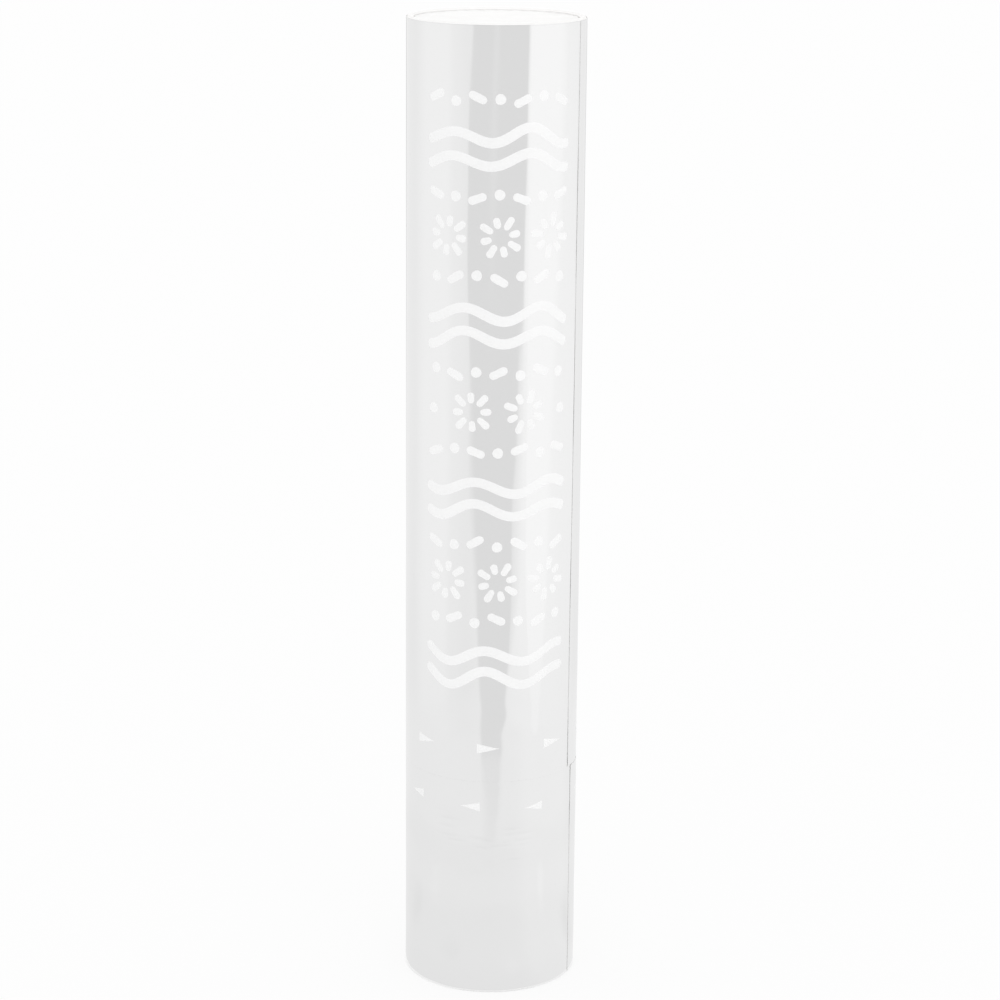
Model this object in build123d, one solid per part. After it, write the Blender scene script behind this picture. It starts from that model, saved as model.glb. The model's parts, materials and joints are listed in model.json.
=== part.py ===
"""Hand-held twist confetti popper: a foil-wrapped card tube with a compressed-gas release in its base.

The tube stands on its base, with its axis on +Z, its foot at z = 0 and the printed side facing -Y.
Twisting the base turns the gas bottle and the cam sleeve on its neck. The sleeve's helical slots lift
a cross pin, which straight slots in the breech cage keep from turning, and the pin pulls the plug out of
the bottle's seat. The gas then drives the pusher cup, the confetti and the muzzle seal up the barrel.
"""

import math
import os

from build123d import *

# Overall sizes, in millimetres
tube_diameter = 50.0  # over the foil wrap
total_length = 280.0  # foot to muzzle
base_length = 65.0  # foot to the middle of the twist seam
seam_gap = 0.2  # between the barrel and the base, at the twist seam
twist_angle = 90.0  # degrees, the twist that releases the gas

# Fits
glue_line = 0.05  # between pieces that are glued or pressed together
turning_clearance = 0.2  # radial, the spigot in the base
running_clearance = 0.3  # moulded pieces that turn or slide in one another
charge_clearance = 0.3  # the charge in the barrel
lid_clearance = 0.1  # the muzzle seal in the barrel
cut_overrun = 1.0  # how far a cutting shape passes the wall that it cuts
edge_tolerance = 0.001  # for finding an edge by its place

# Card tubes and their foil wrap
tube_wall = 1.8
wrap_thickness = 0.1
wrap_lap = 7.0  # width of the strip where the wrap lies over itself
wrap_set_back = 0.3  # bare card at the muzzle and at the foot
barrel_lap_angle = 65.5  # degrees from the front to the right, where the barrel wrap's free edge lies
base_lap_angle = 68.0  # degrees, the same on the base
spigot_wall = 1.2
spigot_engagement = 30.0  # length of the spigot inside the base
rim_chamfer = 0.4  # edges of the card at the muzzle and at the foot

# End cap in the foot
end_cap_recess = 1.5
end_cap_thickness = 1.6
end_cap_skirt = 5.4  # height of the skirt above the disc
end_cap_wall = 1.4
end_cap_ring_diameter = 30.0  # raised ring on the underside
end_cap_ring_width = 1.6
end_cap_ring_height = 0.6

# Cradle that holds the bottle in the base
cradle_wall = 1.4
cradle_floor = 1.6
cradle_spigot_gap = 1.0  # from the cradle's top to the spigot's end
cradle_rib_count = 8
cradle_rib_width = 1.6
cradle_floor_hole = 16.0  # diameter

# Gas bottle
bottle_clearance = 3.55  # radial, between the bottle and the spigot
bottle_wall = 0.9
bottle_corner = 4.0
bottle_foot_share = 0.88  # of the radius where the corner starts, out to which the foot is hollow
bottle_punt = 4.0  # depth of the hollow under the bottle
bottle_pad_diameter = 9.0  # flat in the middle of the hollow
neck_root_radius = 3.0
neck_height = 10.0
lip_width = 1.1
lip_height = 2.2
fill_hole_diameter = 3.0
fill_flange_diameter = 6.4
fill_flange_height = 1.6
fill_head_height = 1.4

# Valve seat, gasket and plug
seat_rise = 4.2  # from the twist seam up to the top of the seat
seat_bore = 10.0  # diameter that the plug seals in
seat_wall = 1.6
seat_flange = 1.6  # thickness
seat_length = 12.0  # below the flange
seat_lead_in = 0.6  # chamfer at the bore's mouth
gasket_thickness = 0.8
seal_gap = 0.05  # between the squeezed ring and the bore
ring_section = 1.6  # diameter of the sealing ring's section
ring_depth = 2.6  # below the mouth of the bore
ring_groove_play = 0.1  # on each side of the ring in its groove
plug_stem_length = 8.0
plug_head_height = 7.0
plug_head_gap = 0.1  # from the seat to the plug's head
plug_land = 0.9  # under the ring's groove, above the flutes
plug_lift = 4.0  # travel over the whole twist
flute_count = 4
head_flute_radius = 1.5
stem_flute_radius = 1.5
plug_crown_radius = 2.0  # rounding of the head's top edge
pin_diameter = 2.4
pin_end_gap = 0.3  # from the pin's end to the outside of the cage
pin_chamfer = 0.3

# Cam sleeve on the bottle's neck
sleeve_wall = 2.0  # around the bottle's lip
sleeve_hook_height = 1.6  # under the lip
sleeve_shoulder = 0.65  # radial, how far the sleeve reaches over the seat's flange
sleeve_bridge = 2.5  # material above the slots
sleeve_top_gap = 0.4  # under the bulkhead
thrust_flange_width = 1.6
thrust_flange_height = 1.8
thrust_flange_lift = 2.2  # from the sleeve's foot to the flange

# Breech cage and bulkhead
cage_wall = 1.8
cage_hook_height = 1.8
finger_slit_count = 4
finger_slit_width = 1.6
finger_slit_rise = 2.0  # above the shoulder of the cage
bulkhead_thickness = 1.6  # the part inside the spigot
bulkhead_flange = 2.0  # the part that sits on the spigot's end
bulkhead_rib_count = 6
bulkhead_rib_width = 1.6
bulkhead_rib_height = 4.0
port_count = 6
port_diameter = 3.4
port_circle_diameter = 11.2

# Charge
cup_floor = 1.2
cup_wall = 1.0
cup_height = 11.0
wad_thickness = 2.0
slip_width = 17.0
tier_count = 4
tier_turn = 60.0  # degrees from one tier to the next
stack_gap = 0.4  # between the stacks of slips in a tier
seal_recess = 0.4  # below the muzzle
seal_thickness = 0.6
seal_skirt = 6.0
seal_rim_radius = 0.5  # rounding of the folded edge

# Radii of the tubes, from the outside in
wrap_outer_r = tube_diameter / 2
wrap_inner_r = wrap_outer_r - wrap_thickness
tube_outer_r = wrap_inner_r - glue_line
tube_inner_r = tube_outer_r - tube_wall
spigot_outer_r = tube_inner_r - glue_line
base_inner_r = spigot_outer_r + turning_clearance
spigot_inner_r = spigot_outer_r - spigot_wall
bottle_r = spigot_inner_r - bottle_clearance

# Radii of the valve, from the inside out
bore_r = seat_bore / 2
seat_outer_r = bore_r + seat_wall
neck_inner_r = seat_outer_r + glue_line
neck_outer_r = neck_inner_r + bottle_wall
lip_r = neck_outer_r + lip_width
sleeve_pocket_r = lip_r + glue_line
sleeve_outer_r = sleeve_pocket_r + sleeve_wall
sleeve_bore_r = lip_r - sleeve_shoulder
thrust_flange_r = sleeve_outer_r + thrust_flange_width
cage_inner_r = sleeve_outer_r + running_clearance
cage_outer_r = cage_inner_r + cage_wall
cage_groove_r = thrust_flange_r + running_clearance
cage_foot_r = cage_groove_r + cage_wall
stem_r = bore_r - running_clearance
head_r = sleeve_bore_r - running_clearance
pin_r = pin_diameter / 2
pin_half_length = cage_outer_r - pin_end_gap
slot_half_width = pin_r + running_clearance

# Heights, from the foot up
end_cap_top = end_cap_recess + end_cap_thickness + end_cap_skirt
cradle_bottom = end_cap_top
bottle_foot = cradle_bottom + cradle_floor
base_top = base_length - seam_gap / 2
barrel_bottom = base_length + seam_gap / 2
spigot_bottom = base_length - spigot_engagement
cradle_top = spigot_bottom - cradle_spigot_gap
seat_top = base_length + seat_rise
gasket_top = seat_top - seat_flange
lip_top = gasket_top - gasket_thickness
lip_bottom = lip_top - lip_height
shoulder_radius = bottle_r - neck_outer_r - neck_root_radius
shoulder_bottom = lip_top - neck_height - neck_root_radius - shoulder_radius
ring_height = seat_top - ring_depth
head_bottom = seat_top + plug_head_gap
head_top = head_bottom + plug_head_height
pin_height = head_bottom + plug_head_height / 2
sleeve_bottom = lip_bottom - sleeve_hook_height
sleeve_top = pin_height + plug_lift + slot_half_width + sleeve_bridge
thrust_bottom = sleeve_bottom + thrust_flange_lift
thrust_top = thrust_bottom + thrust_flange_height
bulkhead_bottom = sleeve_top + sleeve_top_gap
spigot_top = bulkhead_bottom + bulkhead_thickness
bulkhead_top = spigot_top + bulkhead_flange
cup_bottom = bulkhead_top + charge_clearance
wad_bottom = cup_bottom + cup_floor
wad_top = wad_bottom + wad_thickness
seal_top = total_length - seal_recess
seal_bottom = seal_top - seal_thickness
slip_length = (seal_bottom - wad_top) / tier_count


def tube(outer_r, inner_r, bottom, top):
    """Plain tube about the Z axis."""
    return extrude(Pos(0, 0, bottom) * (Circle(outer_r) - Circle(inner_r)), top - bottom)


def rod(radius, bottom, top):
    """Plain round bar about the Z axis."""
    return extrude(Pos(0, 0, bottom) * Circle(radius), top - bottom)


def turned(*points):
    """Solid turned about the Z axis from a closed outline of (radius, height) points."""
    return revolve(Plane.XZ * make_face(Polyline(*points, close=True)), Axis.Z)


def around(shape, count, first_angle=0.0):
    """Copies of a shape evenly spaced about the Z axis, as a list."""
    return [Rot(0, 0, first_angle + 360 * i / count) * shape for i in range(count)]


def edges_at(shape, height, radius):
    """Round edges of a shape at a height and a radius."""
    circles = shape.edges().filter_by(GeomType.CIRCLE)
    level = [e for e in circles if abs(e.arc_center.Z - height) < edge_tolerance]
    return [e for e in level if abs(e.radius - radius) < edge_tolerance]


def card_tube(inner_r, bottom, top, rim):
    """Wound card tube. Its cut rim, at the muzzle or at the foot, has broken edges."""
    body = tube(tube_outer_r, inner_r, bottom, top)
    return chamfer(edges_at(body, rim, tube_outer_r) + edges_at(body, rim, inner_r), rim_chamfer)


def foil_wrap(bottom, top, lap_angle):
    """Foil paper wound once round a tube. A strip laps over its start, with a free edge at lap_angle."""
    sleeve = tube(wrap_outer_r, wrap_inner_r, bottom, top)
    lap_degrees = math.degrees(wrap_lap / wrap_outer_r)
    strip = Rectangle(wrap_thickness, top - bottom, align=(Align.MIN, Align.MIN))
    lap = revolve(Plane.XZ * Pos(wrap_outer_r, bottom) * strip, Axis.Z, revolution_arc=lap_degrees)
    return sleeve + Rot(0, 0, lap_angle - 90) * lap  # the front faces -Y


def spigot_tube():
    """Card tube glued into the barrel, on which the base turns."""
    return tube(spigot_outer_r, spigot_inner_r, spigot_bottom, spigot_top)


def end_cap():
    """Moulded cup pressed into the foot, with a raised ring under its disc."""
    outer_r = base_inner_r - glue_line
    inner_r = outer_r - end_cap_wall
    disc_top = end_cap_recess + end_cap_thickness
    cup = turned(
        (0, end_cap_recess),
        (outer_r, end_cap_recess),
        (outer_r, end_cap_top),
        (inner_r, end_cap_top),
        (inner_r, disc_top),
        (0, disc_top),
    )
    ring_r = end_cap_ring_diameter / 2
    ring_bottom = end_cap_recess - end_cap_ring_height
    return cup + tube(ring_r, ring_r - end_cap_ring_width, ring_bottom, end_cap_recess)


def bottle_cradle():
    """Ribbed moulding that centres the bottle in the base and turns it with the base."""
    outer_r = base_inner_r - glue_line
    cup_inner_r = bottle_r + glue_line
    floor = tube(outer_r, cradle_floor_hole / 2, cradle_bottom, bottle_foot)
    skin = tube(outer_r, outer_r - cradle_wall, cradle_bottom, cradle_top)
    cup = tube(cup_inner_r + cradle_wall, cup_inner_r, cradle_bottom, cradle_top)
    mid_wall_r = cup_inner_r + cradle_wall / 2
    rib_length = outer_r - cradle_wall / 2 - mid_wall_r
    rib = Pos(mid_wall_r, 0, cradle_bottom) * Box(
        rib_length,
        cradle_rib_width,
        cradle_top - cradle_bottom,
        align=(Align.MIN, Align.CENTER, Align.MIN),
    )
    return floor + skin + cup + around(rib, cradle_rib_count)


def bottle_body(inset):
    """Solid of revolution inside the bottle's skin, which lies inset from the outside."""
    foot = bottle_foot + inset
    pad_r = bottle_pad_diameter / 2
    corner_r = bottle_r - bottle_corner
    wall_r = bottle_r - inset
    neck_r = neck_outer_r - inset
    arc_r = shoulder_radius - inset
    root_r = neck_root_radius + inset
    axis_point = (0, foot + bottle_punt)
    pad_edge = (pad_r, foot + bottle_punt)
    foot_edge = (bottle_foot_share * corner_r, foot)
    corner_start = (corner_r, foot)
    corner_end = (wall_r, bottle_foot + bottle_corner)
    shoulder_start = (wall_r, shoulder_bottom)
    shoulder_end = (wall_r - arc_r, shoulder_bottom + arc_r)
    neck_start = (neck_r, shoulder_bottom + arc_r + root_r)
    neck_end = (neck_r, lip_top)
    outline = [
        Line(axis_point, pad_edge),
        TangentArc(pad_edge, foot_edge, tangent=(1, 0)),
        Line(foot_edge, corner_start),
        TangentArc(corner_start, corner_end, tangent=(1, 0)),
        Line(corner_end, shoulder_start),
        TangentArc(shoulder_start, shoulder_end, tangent=(0, 1)),
        TangentArc(shoulder_end, neck_start, tangent=(-1, 0)),
        Polyline(neck_start, neck_end, (0, lip_top), axis_point),
    ]
    return revolve(Plane.XZ * make_face(outline), Axis.Z)


def gas_bottle():
    """Drawn aluminium bottle with a hollow foot, an ogee shoulder and a rolled lip."""
    lip = tube(lip_r, neck_inner_r, lip_bottom, lip_top)
    lip = fillet(edges_at(lip, lip_bottom, lip_r), lip_width / 2)
    vessel = bottle_body(0) + lip - bottle_body(bottle_wall)
    pad = bottle_foot + bottle_punt
    return vessel - rod(fill_hole_diameter / 2, pad - cut_overrun, pad + bottle_wall + cut_overrun)


def fill_valve():
    """Rubber button in the bottle's foot, through which the bottle is filled."""
    pad = bottle_foot + bottle_punt
    flange_r = fill_flange_diameter / 2
    shank_r = fill_hole_diameter / 2 - glue_line
    flange_top = pad - glue_line
    flange_bottom = flange_top - fill_flange_height
    button_bottom = pad + bottle_wall + glue_line
    button_top = button_bottom + fill_head_height
    return turned(
        (0, flange_bottom),
        (flange_r, flange_bottom),
        (flange_r, flange_top),
        (shank_r, flange_top),
        (shank_r, button_bottom),
        (flange_r, button_bottom),
        (shank_r, button_top),
        (0, button_top),
    )


def valve_seat():
    """Flanged bush in the bottle's neck that the plug seals in."""
    bottom = seat_top - seat_flange - seat_length
    return turned(
        (bore_r, bottom),
        (seat_outer_r, bottom),
        (seat_outer_r, gasket_top),
        (lip_r, gasket_top),
        (lip_r, seat_top),
        (bore_r + seat_lead_in, seat_top),
        (bore_r, seat_top - seat_lead_in),
    )


def seat_gasket():
    """Flat rubber washer between the seat's flange and the bottle's lip."""
    return tube(lip_r, neck_inner_r, lip_top, gasket_top)


def helical_slot():
    """Cutting shape of one slot: it climbs plug_lift over twist_angle, from the +X side."""
    wall_mid_r = (sleeve_bore_r + sleeve_outer_r) / 2
    reach = sleeve_outer_r - sleeve_bore_r + 2 * cut_overrun
    pitch = plug_lift * 360 / twist_angle
    path = Helix(pitch, plug_lift, wall_mid_r, center=(0, 0, pin_height))
    start = Plane(path @ 0, x_dir=(1, 0, 0), z_dir=(0, 1, 0))
    run = sweep(start * Rectangle(reach, 2 * slot_half_width), path=path, is_frenet=True)
    end = extrude(Plane.YZ.offset(wall_mid_r) * Circle(slot_half_width), reach / 2, both=True)
    low_end = Pos(0, 0, pin_height) * end
    return run + low_end + Pos(0, 0, plug_lift) * Rot(0, 0, twist_angle) * low_end


def cam_sleeve():
    """Sleeve crimped over the bottle's lip, with a thrust flange and two helical slots."""
    body = turned(
        (neck_outer_r + glue_line, sleeve_bottom),
        (sleeve_outer_r, sleeve_bottom),
        (sleeve_outer_r, thrust_bottom),
        (thrust_flange_r, thrust_bottom),
        (thrust_flange_r, thrust_top),
        (sleeve_outer_r, thrust_top),
        (sleeve_outer_r, sleeve_top),
        (sleeve_bore_r, sleeve_top),
        (sleeve_bore_r, seat_top),
        (sleeve_pocket_r, seat_top),
        (sleeve_pocket_r, lip_bottom - glue_line),
        (neck_outer_r + glue_line, lip_bottom - glue_line),
    )
    return body - around(helical_slot(), 2)


def breech_cage():
    """Bulkhead with gas ports, glued on the spigot, and the slotted cage that hangs from it."""
    groove_bottom = thrust_bottom - running_clearance
    groove_top = thrust_top + running_clearance
    cage_bottom = groove_bottom - cage_hook_height
    shoulder_top = groove_top + cage_wall
    flange_r = tube_inner_r - glue_line
    plate_r = spigot_inner_r - glue_line
    body = turned(
        (0, bulkhead_bottom),
        (cage_inner_r, bulkhead_bottom),
        (cage_inner_r, groove_top),
        (cage_groove_r, groove_top),
        (cage_groove_r, groove_bottom),
        (cage_inner_r, groove_bottom),
        (cage_inner_r, cage_bottom),
        (cage_foot_r, cage_bottom),
        (cage_foot_r, shoulder_top),
        (cage_outer_r, shoulder_top),
        (cage_outer_r, bulkhead_bottom),
        (plate_r, bulkhead_bottom),
        (plate_r, spigot_top),
        (flange_r, spigot_top),
        (flange_r, bulkhead_top),
        (0, bulkhead_top),
    )
    wall_mid_r = (cage_inner_r + cage_outer_r) / 2
    rib = Pos(wall_mid_r, 0, bulkhead_bottom) * Box(
        plate_r - wall_mid_r,
        bulkhead_rib_width,
        bulkhead_rib_height,
        align=(Align.MIN, Align.CENTER, Align.MAX),
    )
    body += around(rib, bulkhead_rib_count, 180 / bulkhead_rib_count)
    slot_length = plug_lift + 2 * slot_half_width
    slot = Pos(0, 0, pin_height + plug_lift / 2) * extrude(
        Plane.YZ * SlotOverall(slot_length, 2 * slot_half_width, rotation=90),
        cage_foot_r + cut_overrun,
        both=True,
    )
    slit_top = shoulder_top + finger_slit_rise
    slit = Pos(0, 0, slit_top) * Box(
        cage_foot_r + cut_overrun,
        finger_slit_width,
        slit_top - cage_bottom + cut_overrun,
        align=(Align.MIN, Align.CENTER, Align.MAX),
    )
    port = Pos(port_circle_diameter / 2, 0, 0) * rod(
        port_diameter / 2, bulkhead_bottom - cut_overrun, bulkhead_top + cut_overrun
    )
    slits = around(slit, finger_slit_count, 180 / finger_slit_count)
    return body - [slot, *slits, *around(port, port_count)]


def valve_plug():
    """Fluted plug: its stem seals in the seat, and the cross pin goes through its head."""
    groove_r = bore_r - seal_gap - ring_section - glue_line
    groove_half = ring_section / 2 + ring_groove_play
    stem_bottom = head_bottom - plug_stem_length
    flute_top = ring_height - groove_half - plug_land
    body = turned(
        (0, stem_bottom),
        (stem_r, stem_bottom),
        (stem_r, ring_height - groove_half),
        (groove_r, ring_height - groove_half),
        (groove_r, ring_height + groove_half),
        (stem_r, ring_height + groove_half),
        (stem_r, head_bottom),
        (head_r, head_bottom),
        (head_r, head_top),
        (0, head_top),
    )
    body = fillet(edges_at(body, head_top, head_r), plug_crown_radius)
    pin_hole = extrude(Plane.YZ * Circle(pin_r + glue_line), head_r + cut_overrun, both=True)
    head_flute = rod(head_flute_radius, head_bottom - cut_overrun, head_top + cut_overrun)
    stem_flute = rod(stem_flute_radius, stem_bottom - cut_overrun, flute_top)
    flutes = around(Pos(head_r, 0, 0) * head_flute, flute_count, 180 / flute_count)
    flutes += around(Pos(stem_r, 0, 0) * stem_flute, flute_count)
    return body - [Pos(0, 0, pin_height) * pin_hole, *flutes]


def plug_ring():
    """Rubber ring in the plug's groove, squeezed to the seat's bore."""
    return Pos(0, 0, ring_height) * Torus(bore_r - seal_gap - ring_section / 2, ring_section / 2)


def cross_pin():
    """Steel pin through the plug's head, along X, which rides in the slots."""
    pin = extrude(Plane.YZ * Circle(pin_r), pin_half_length, both=True)
    return Pos(0, 0, pin_height) * chamfer(pin.edges().filter_by(GeomType.CIRCLE), pin_chamfer)


def pusher_cup():
    """Thin moulded cup that carries the charge up the barrel."""
    outer_r = tube_inner_r - charge_clearance
    shell = tube(outer_r, outer_r - cup_wall, cup_bottom, cup_bottom + cup_height)
    return shell + rod(outer_r, cup_bottom, wad_bottom)


def card_wad():
    """Card disc on the floor of the cup."""
    return rod(tube_inner_r - charge_clearance - cup_wall - charge_clearance, wad_bottom, wad_top)


def confetti_tier(index):
    """Three stacks of slips that stand side by side: a thick one in the middle and one on each side."""
    fill_r = tube_inner_r - charge_clearance - cup_wall - charge_clearance
    half_slip = slip_width / 2
    half_chord = math.sqrt(fill_r**2 - half_slip**2)
    side_start = half_slip + stack_gap
    middle = Box(slip_width, 2 * half_chord, slip_length, align=(Align.CENTER, Align.CENTER, Align.MIN))
    side = Pos(side_start, 0, 0) * Box(
        half_chord - side_start,
        slip_width,
        slip_length,
        align=(Align.MIN, Align.CENTER, Align.MIN),
    )
    place = Pos(0, 0, wad_top + index * slip_length) * Rot(0, 0, index * tier_turn)
    return Compound(children=[place * stack for stack in (middle, *around(side, 2))])


def muzzle_seal():
    """White paper lid, folded down inside the muzzle."""
    outer_r = tube_inner_r - lid_clearance
    lid = rod(outer_r, seal_bottom - seal_skirt, seal_top)
    lid = fillet(edges_at(lid, seal_top, outer_r), seal_rim_radius)
    return lid - rod(outer_r - seal_thickness, seal_bottom - seal_skirt - cut_overrun, seal_bottom)


def popper():
    """Every piece of the popper, by the name of its node."""
    pieces = {
        "barrel_tube": card_tube(tube_inner_r, barrel_bottom, total_length, total_length),
        "barrel_wrap": foil_wrap(barrel_bottom, total_length - wrap_set_back, barrel_lap_angle),
        "spigot_tube": spigot_tube(),
        "breech_cage": breech_cage(),
        "base_tube": card_tube(base_inner_r, 0, base_top, 0),
        "base_wrap": foil_wrap(wrap_set_back, base_top, base_lap_angle),
        "end_cap": end_cap(),
        "bottle_cradle": bottle_cradle(),
        "gas_bottle": gas_bottle(),
        "fill_valve": fill_valve(),
        "valve_seat": valve_seat(),
        "seat_gasket": seat_gasket(),
        "cam_sleeve": cam_sleeve(),
        "valve_plug": valve_plug(),
        "plug_ring": plug_ring(),
        "cross_pin": cross_pin(),
        "pusher_cup": pusher_cup(),
        "card_wad": card_wad(),
        "muzzle_seal": muzzle_seal(),
    }
    for index in range(tier_count):
        pieces[f"confetti_tier_{index + 1}"] = confetti_tier(index)
    return pieces


os.makedirs("parts", exist_ok=True)
for node, shape in popper().items():
    export_step(shape, f"parts/{node}.step")
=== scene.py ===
"""Looks of the confetti popper: foil, print, lid, confetti and materials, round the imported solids."""

import json
import random
from math import ceil, cos, degrees, exp, hypot, pi, radians, sin, sqrt, tau

import bpy
from mathutils import Matrix, Vector, noise


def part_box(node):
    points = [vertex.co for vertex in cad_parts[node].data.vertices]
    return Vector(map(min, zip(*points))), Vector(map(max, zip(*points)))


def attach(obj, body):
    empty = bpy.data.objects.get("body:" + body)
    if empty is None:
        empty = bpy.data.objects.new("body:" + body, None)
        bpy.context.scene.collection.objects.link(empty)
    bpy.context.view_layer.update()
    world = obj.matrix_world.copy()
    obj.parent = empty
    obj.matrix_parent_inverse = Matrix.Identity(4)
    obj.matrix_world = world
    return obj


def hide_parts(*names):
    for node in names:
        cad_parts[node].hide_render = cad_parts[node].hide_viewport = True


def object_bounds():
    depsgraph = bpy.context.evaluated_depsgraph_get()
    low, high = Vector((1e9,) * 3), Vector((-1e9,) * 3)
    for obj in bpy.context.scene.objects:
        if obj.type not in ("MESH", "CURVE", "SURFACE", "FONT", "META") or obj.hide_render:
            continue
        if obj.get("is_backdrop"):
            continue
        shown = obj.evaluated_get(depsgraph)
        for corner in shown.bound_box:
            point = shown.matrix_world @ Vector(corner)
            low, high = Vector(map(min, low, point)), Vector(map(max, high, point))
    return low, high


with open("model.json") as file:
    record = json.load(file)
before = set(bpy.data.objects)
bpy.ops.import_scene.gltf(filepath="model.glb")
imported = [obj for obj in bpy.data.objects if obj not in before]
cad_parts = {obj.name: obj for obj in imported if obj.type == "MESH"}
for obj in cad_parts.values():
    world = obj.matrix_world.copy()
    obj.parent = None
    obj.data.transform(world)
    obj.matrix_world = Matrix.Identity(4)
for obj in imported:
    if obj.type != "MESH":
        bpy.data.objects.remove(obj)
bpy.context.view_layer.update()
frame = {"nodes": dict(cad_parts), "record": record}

# Lengths are in millimetres and angles in degrees, until a point becomes a vertex
MM = 0.001
TUBE_R = 25.0  # outside of the foil
GIRTH = tau * TUBE_R
SEAM = 65.0  # height of the twist seam
SEED = 41

random.seed(SEED)


def smooth(x):
    """Smooth step from 0 to 1."""
    x = min(1.0, max(0.0, x))
    return x * x * (3 - 2 * x)


def point(angle, radius, height):
    """Vertex at an angle from the front to the right, a radius and a height."""
    a = radians(angle)
    return (radius * sin(a) * MM, -radius * cos(a) * MM, height * MM)


def heights(node):
    """Lowest and highest point of a CAD node."""
    low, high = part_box(node)
    return low.z / MM, high.z / MM


# Building meshes

class Shape:
    """Vertices and faces of an object, with a material number per face and named numbers per vertex."""

    def __init__(self):
        self.points = []
        self.faces = []
        self.paints = []
        self.numbers = {}

    def face(self, corners, paint=0, flip=False):
        self.faces.append(tuple(reversed(corners)) if flip else tuple(corners))
        self.paints.append(paint)

    def grid(self, rows, columns, first, paint=0, flip=False):
        """Faces between rows and columns of points that start at the number first."""
        for j in range(rows - 1):
            for k in range(columns - 1):
                a = first + j * columns + k
                self.face((a, a + 1, a + columns + 1, a + columns), paint, flip)

    def band(self, first, second, count, flip=False):
        """Faces between two closed rings of points that start at the numbers first and second."""
        for k in range(count):
            n = (k + 1) % count
            self.face((first + k, first + n, second + n, second + k), flip=flip)

    def object(self, name, skins):
        """The finished object, with the named materials."""
        mesh = bpy.data.meshes.new(name)
        mesh.from_pydata(self.points, [], self.faces)
        for skin in skins:
            mesh.materials.append(SKINS[skin])
        mesh.polygons.foreach_set("material_index", self.paints)
        for label, values in self.numbers.items():
            mesh.attributes.new(label, "FLOAT", "POINT").data.foreach_set("value", values)
        made = bpy.data.objects.new(name, mesh)
        bpy.context.scene.collection.objects.link(made)
        return made

    def piece(self, name, body, skins, *nodes, sharp=40.0):
        """A piece of the popper, which rides on a body and stands for the named CAD nodes."""
        made = self.object(name, skins)
        made.data.polygons.foreach_set("use_smooth", [True] * len(self.faces))
        made.data.set_sharp_from_angle(angle=radians(sharp))
        made.data.validate()
        made.data.update()
        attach(made, body)
        if nodes:
            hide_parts(*nodes)

    def stage(self, name):
        """A piece of the studio, in the material of the same name."""
        made = self.object(name, [name])
        made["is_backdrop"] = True
        return made


# Materials

WAVE_LENGTH = pi / 10  # of the wave texture at a scale of 1
GREEN_SHARE = 0.4  # of a grey's warmth, which blue takes in full
SKINS = {}  # the materials by name


class Paint:
    """A procedural material round one Principled shader, with plain numbers on that one's sockets."""

    def __init__(self, name, **sockets):
        SKINS[name] = bpy.data.materials.new(name)
        SKINS[name].use_nodes = True
        self.tree = SKINS[name].node_tree
        self.shader = self.tree.nodes["Principled BSDF"]
        for socket, value in sockets.items():
            self.shader.inputs[socket.replace("_", " ")].default_value = value
        self.place = None

    def node(self, kind, sockets=None, **settings):
        """A shader node with its settings, and with a link or a number on each of its named sockets."""
        made = self.tree.nodes.new("ShaderNode" + kind)
        for setting, value in settings.items():
            setattr(made, setting, value)
        for socket, value in (sockets or {}).items():
            if isinstance(value, bpy.types.NodeSocket):
                self.tree.links.new(value, made.inputs[socket])
            else:
                made.inputs[socket].default_value = value
        return made

    def mapped(self, scale):
        """The place on the object, times a scale along each axis."""
        if self.place is None:
            self.place = self.node("TexCoord").outputs["Object"]
        return self.node("Mapping", {"Vector": self.place, "Scale": scale}).outputs[0]

    def noise(self, grain, detail=4.0, stretch=(1, 1, 1), rough=0.55):
        """Cloudy texture with features of about grain millimetres, stretched along an axis."""
        place = self.mapped([1 / (grain * MM * s) for s in stretch])
        texture = {"Vector": place, "Scale": 1.0, "Detail": detail, "Roughness": rough}
        return self.node("TexNoise", texture).outputs["Fac"]

    def rings(self, spacing, wander):
        """Waves round the tube's axis, at a spacing."""
        place = self.mapped((1 / MM, 1 / MM, 0))
        wave = {"Vector": place, "Scale": WAVE_LENGTH / spacing, "Distortion": wander}
        return self.node("TexWave", wave, wave_type="RINGS", rings_direction="Z").outputs["Fac"]

    def attribute(self, label):
        """The named numbers of the vertices."""
        return self.node("Attribute", attribute_name=label).outputs["Fac"]

    def sum(self, a, b, share=0.5):
        """a plus a share of b."""
        return self.node("Math", {0: b, 1: share, 2: a}, operation="MULTIPLY_ADD").outputs[0]

    def span(self, value, low, high, start, end):
        """Runs from low to high while value goes from start to end."""
        settings = {"Value": value, "From Min": start, "From Max": end, "To Min": low, "To Max": high}
        return self.node("MapRange", settings).outputs[0]

    def colour(self, value, *stops):
        """Colours the surface by value, through (value, colour) stops."""
        start, end = stops[0][0], stops[-1][0]
        ramp = self.node("ValToRGB", {"Fac": self.span(value, 0.0, 1.0, start, end)})
        bar = ramp.color_ramp.elements
        while len(bar) < len(stops):
            bar.new(0.5)
        for element, (place, colour) in zip(bar, stops):
            element.position = (place - start) / (end - start)
            element.color = (*colour, 1)
        self.tree.links.new(ramp.outputs[0], self.shader.inputs["Base Color"])

    def rough(self, value, low, high, start=0.3, end=0.7):
        """Roughness from low to high, while value goes from start to end."""
        self.tree.links.new(self.span(value, low, high, start, end), self.shader.inputs["Roughness"])

    def bump(self, height, depth, strength=0.5):
        """Relief of a depth in millimetres."""
        settings = {"Height": height, "Distance": depth * MM, "Strength": strength}
        relief = self.node("Bump", settings).outputs[0]
        self.tree.links.new(relief, self.shader.inputs["Normal"])

    def surface(self, shader):
        """Shows another shader."""
        self.tree.links.new(shader, self.tree.nodes["Material Output"].inputs["Surface"])


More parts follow.
